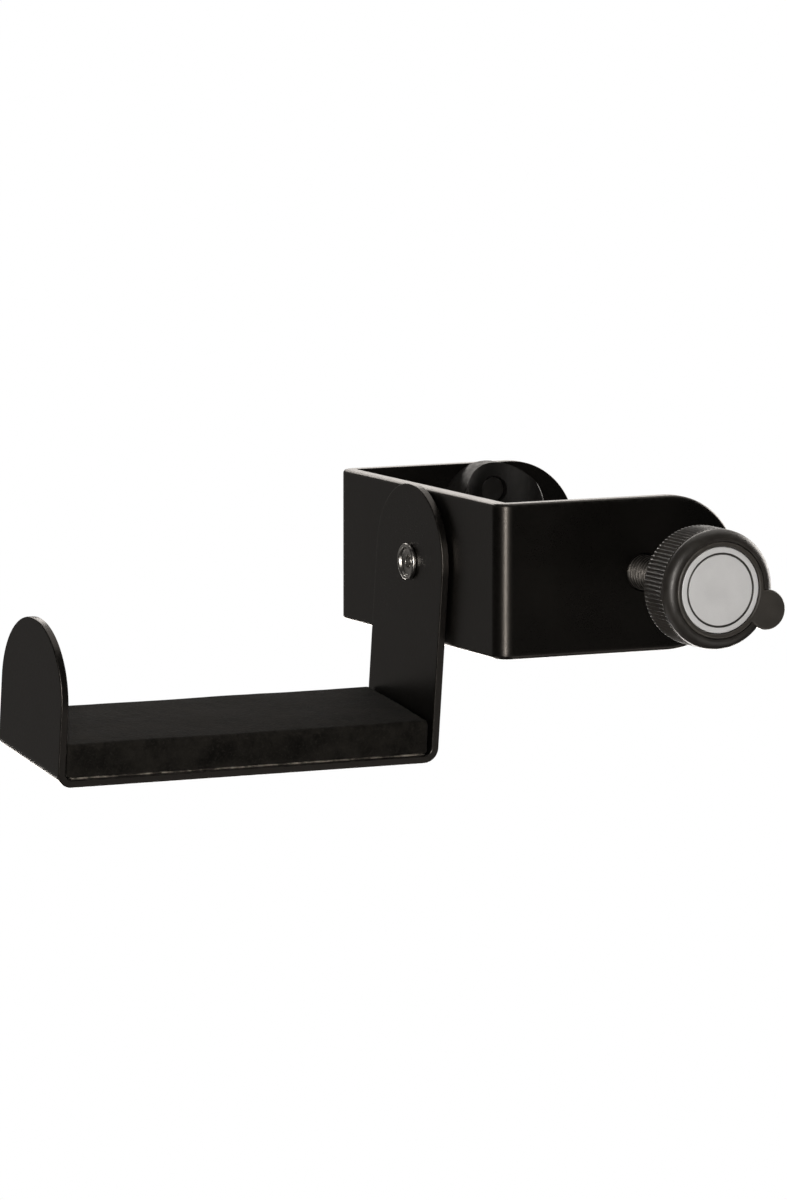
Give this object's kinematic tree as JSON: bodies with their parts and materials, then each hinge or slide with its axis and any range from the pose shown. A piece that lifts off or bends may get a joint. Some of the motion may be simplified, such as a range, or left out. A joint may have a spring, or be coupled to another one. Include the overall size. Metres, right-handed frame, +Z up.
{
  "type": "headphone hook",
  "caption": "Padded steel headphone hook that pivots on a rivet on the web of a U-shaped screw clamp for a stand tube, tightened by a serrated knob.",
  "frame": {"origin": "on the axis of the clamped tube, at the height of the clamp's screw", "axes": "+Z up along the tube, +X along the clamp arms towards their round tips, +Y from the knob towards the saddle"},
  "size_m": [0.1545, 0.1222, 0.0626],
  "materials": {
    "clamp_steel": "satin",
    "hook_steel": "satin",
    "zinc_steel": "satin",
    "saddle_plastic": "matte",
    "black_rivet": "satin",
    "bright_rivet": "satin",
    "nylon": "matte",
    "spring_steel": "satin",
    "glue": "satin",
    "pad_foam": "matte",
    "foot_plastic": "matte",
    "foot_rubber": "matte",
    "screw_steel": "satin",
    "knob_plastic": "satin",
    "face_plastic": "satin",
    "disc_plastic": "satin"
  },
  "bodies": {
    "clamp_bracket": {"bracket": "clamp_steel", "weld_nut": "clamp_steel", "saddle": "saddle_plastic", "saddle_rivets": "black_rivet", "pivot_rivet": "bright_rivet", "friction_disc": "nylon", "wave_washer": "spring_steel", "flat_washer": "zinc_steel"},
    "hook": {"hook_strip": "hook_steel", "pad_glue": "glue", "tray_pad": "pad_foam"},
    "foot": {"foot_plate": "foot_plastic", "foot_pad": "foot_rubber"},
    "screw_and_knob": {"clamp_screw": "screw_steel", "retaining_ring": "spring_steel", "knob_body": "knob_plastic", "knob_face": "face_plastic", "knob_disc": "disc_plastic"}
  },
  "joints": [
    {"name": "hook_pivot", "type": "hinge", "parent": "clamp_bracket", "child": "hook", "pos_m": [-0.0364, -0.0239, 0], "axis": [1, 0, 0], "continuous": true},
    {"name": "foot_travel", "type": "slide", "parent": "clamp_bracket", "child": "foot", "axis": [0, 1, 0], "range_m": [-0.035, 0.01688]},
    {"name": "knob_turn", "type": "hinge", "parent": "foot", "child": "screw_and_knob", "pos_m": [0, -0.0652, 0], "axis": [0, 1, 0], "range_deg": [-10085, 4865]}
  ],
  "couplings": [
    {"joint": "knob_turn", "follows": "foot_travel", "rad_per_m": 5026.5}
  ]
}
